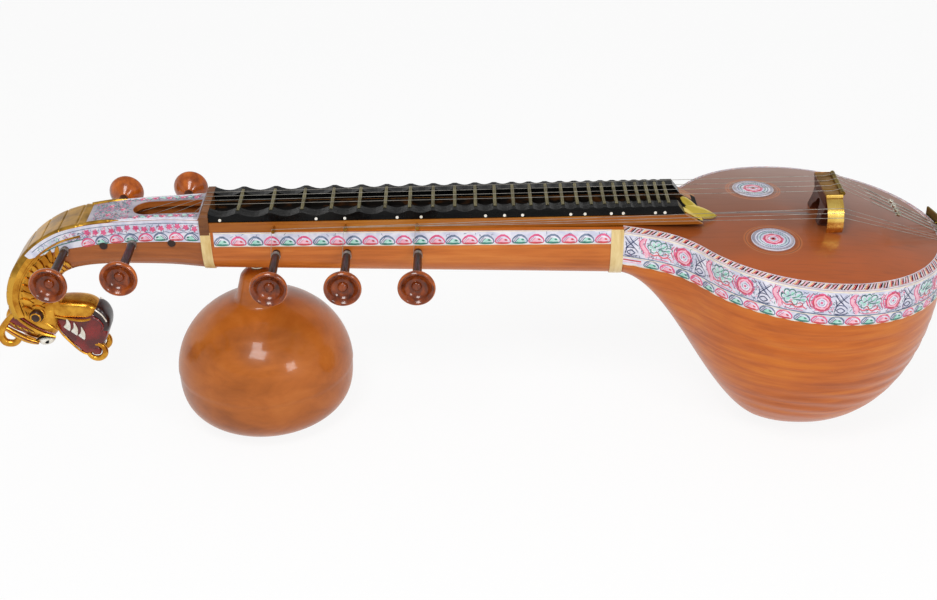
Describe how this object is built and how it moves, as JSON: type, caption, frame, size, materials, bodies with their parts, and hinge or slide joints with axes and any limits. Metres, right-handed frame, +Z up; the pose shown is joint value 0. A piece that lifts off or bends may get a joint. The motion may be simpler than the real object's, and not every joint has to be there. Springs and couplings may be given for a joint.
{
  "type": "saraswati veena",
  "caption": "Long-necked fretted lute with a carved pear-shaped bowl, a gourd resonator under the neck, a gilded dragon-head scroll and turned tuning pegs.",
  "frame": {"origin": "on the floor plane under the middle of the overall bounding box, which is also the middle of the strings in width", "axes": "+X from the dragon head to the bowl, +Y away from the player, +Z up, frets on top"},
  "size_m": [1.3328, 0.3824, 0.3523],
  "materials": {
    "bowl_wood": "satin lacquered jackwood",
    "plate_wood": "satin lacquered jackwood, paler",
    "neck_wood": "satin lacquered jackwood",
    "dark_wood": "dark stained board",
    "nut_wood": "plain brown wood",
    "bridge_wood": "dark red-brown lacquered wood",
    "peg_wood": "glossy turned rosewood",
    "inlay": "engraved and coloured inlay, white and lilac ground",
    "ring": "cream bone-coloured ring",
    "gold": "gilded carving",
    "red_paint": "glossy red paint",
    "maroon_paint": "glossy dark maroon paint",
    "white_paint": "glossy white paint",
    "knob_wood": "dark wood",
    "wax": "black fretting wax, worn satin",
    "fret_bronze": "dull bronze",
    "brass": "polished brass",
    "steel": "plain drawn wire",
    "dot_white": "white inlaid dots",
    "gourd_skin": "lacquered dried gourd",
    "collar_metal": "plated collar"
  },
  "bodies": {
    "veena": {"bowl": "bowl_wood", "top_plate": "plate_wood", "rim_inlay": "inlay", "bowl_inlay": "inlay", "rosette_front": "inlay", "rosette_back": "inlay", "neck": "neck_wood", "neck_cover": "dark_wood", "ledge_front": "neck_wood", "ledge_back": "neck_wood", "neck_inlays": "inlay", "ring_head": "ring", "ring_bowl": "ring", "ledge_leaves": "gold", "wax_front": "wax", "wax_back": "wax", "frets": "fret_bronze", "fret_dots": "dot_white", "nut": "nut_wood", "drone_posts": "brass", "pegbox": "neck_wood", "pegbox_plate": "inlay", "pegbox_inlays": "inlay", "gooseneck": "gold", "neck_crest": "gold", "yali_skull": "gold", "yali_snout": "gold", "yali_mouth": "red_paint", "yali_teeth": "white_paint", "yali_curl": "gold", "yali_ears": "gold", "yali_eyes": "white_paint", "yali_muzzle": "maroon_paint", "yali_knobs": "knob_wood", "bridge": "bridge_wood", "bridge_plate": "brass", "side_bridge": "brass", "tailpiece": "brass", "tail_wires": "steel", "string_1": "steel", "string_2": "steel", "string_3": "steel", "string_4": "steel", "drone_string_1": "steel", "drone_string_2": "steel", "drone_string_3": "steel", "gourd_cup": "collar_metal", "gourd_screw": "steel"},
    "peg_body_1": {"peg_1": "peg_wood"},
    "peg_body_2": {"peg_2": "peg_wood"},
    "peg_body_3": {"peg_3": "peg_wood"},
    "peg_body_4": {"peg_4": "peg_wood"},
    "drone_peg_body_1": {"drone_peg_1": "peg_wood"},
    "drone_peg_body_2": {"drone_peg_2": "peg_wood"},
    "drone_peg_body_3": {"drone_peg_3": "peg_wood"},
    "bead_body_1": {"tuning_bead_1": "brass"},
    "bead_body_2": {"tuning_bead_2": "brass"},
    "bead_body_3": {"tuning_bead_3": "brass"},
    "bead_body_4": {"tuning_bead_4": "brass"},
    "gourd_body": {"gourd": "gourd_skin"}
  },
  "joints": [
    {"name": "peg_1_turn", "type": "hinge", "parent": "veena", "child": "peg_body_1", "pos_m": [-0.40035, 0, 0.294], "axis": [0, 1, 0], "continuous": true},
    {"name": "peg_2_turn", "type": "hinge", "parent": "veena", "child": "peg_body_2", "pos_m": [-0.45385, 0, 0.294], "axis": [0, -1, 0], "continuous": true},
    {"name": "peg_3_turn", "type": "hinge", "parent": "veena", "child": "peg_body_3", "pos_m": [-0.49435, 0, 0.29], "axis": [0, 1, 0], "continuous": true},
    {"name": "peg_4_turn", "type": "hinge", "parent": "veena", "child": "peg_body_4", "pos_m": [-0.54785, 0, 0.284], "axis": [0, -1, 0], "continuous": true},
    {"name": "drone_peg_1_turn", "type": "hinge", "parent": "veena", "child": "drone_peg_body_1", "pos_m": [-0.25785, 0, 0.28], "axis": [0, -1, 0], "continuous": true},
    {"name": "drone_peg_2_turn", "type": "hinge", "parent": "veena", "child": "drone_peg_body_2", "pos_m": [-0.16135, 0, 0.28], "axis": [0, -1, 0], "continuous": true},
    {"name": "drone_peg_3_turn", "type": "hinge", "parent": "veena", "child": "drone_peg_body_3", "pos_m": [-0.06485, 0, 0.28], "axis": [0, -1, 0], "continuous": true},
    {"name": "bead_1_slide", "type": "slide", "parent": "veena", "child": "bead_body_1", "axis": [0.8879, 0.0456, -0.4577], "range_m": [-0.012, 0.015]},
    {"name": "bead_2_slide", "type": "slide", "parent": "veena", "child": "bead_body_2", "axis": [0.8895, 0.0152, -0.4566], "range_m": [-0.012, 0.015]},
    {"name": "bead_3_slide", "type": "slide", "parent": "veena", "child": "bead_body_3", "axis": [0.8895, -0.0152, -0.4566], "range_m": [-0.012, 0.015]},
    {"name": "bead_4_slide", "type": "slide", "parent": "veena", "child": "bead_body_4", "axis": [0.8879, -0.0456, -0.4577], "range_m": [-0.012, 0.015]},
    {"name": "gourd_turn", "type": "hinge", "parent": "veena", "child": "gourd_body", "pos_m": [-0.29235, 0, 0.19], "axis": [0, 0, 1], "continuous": true}
  ]
}
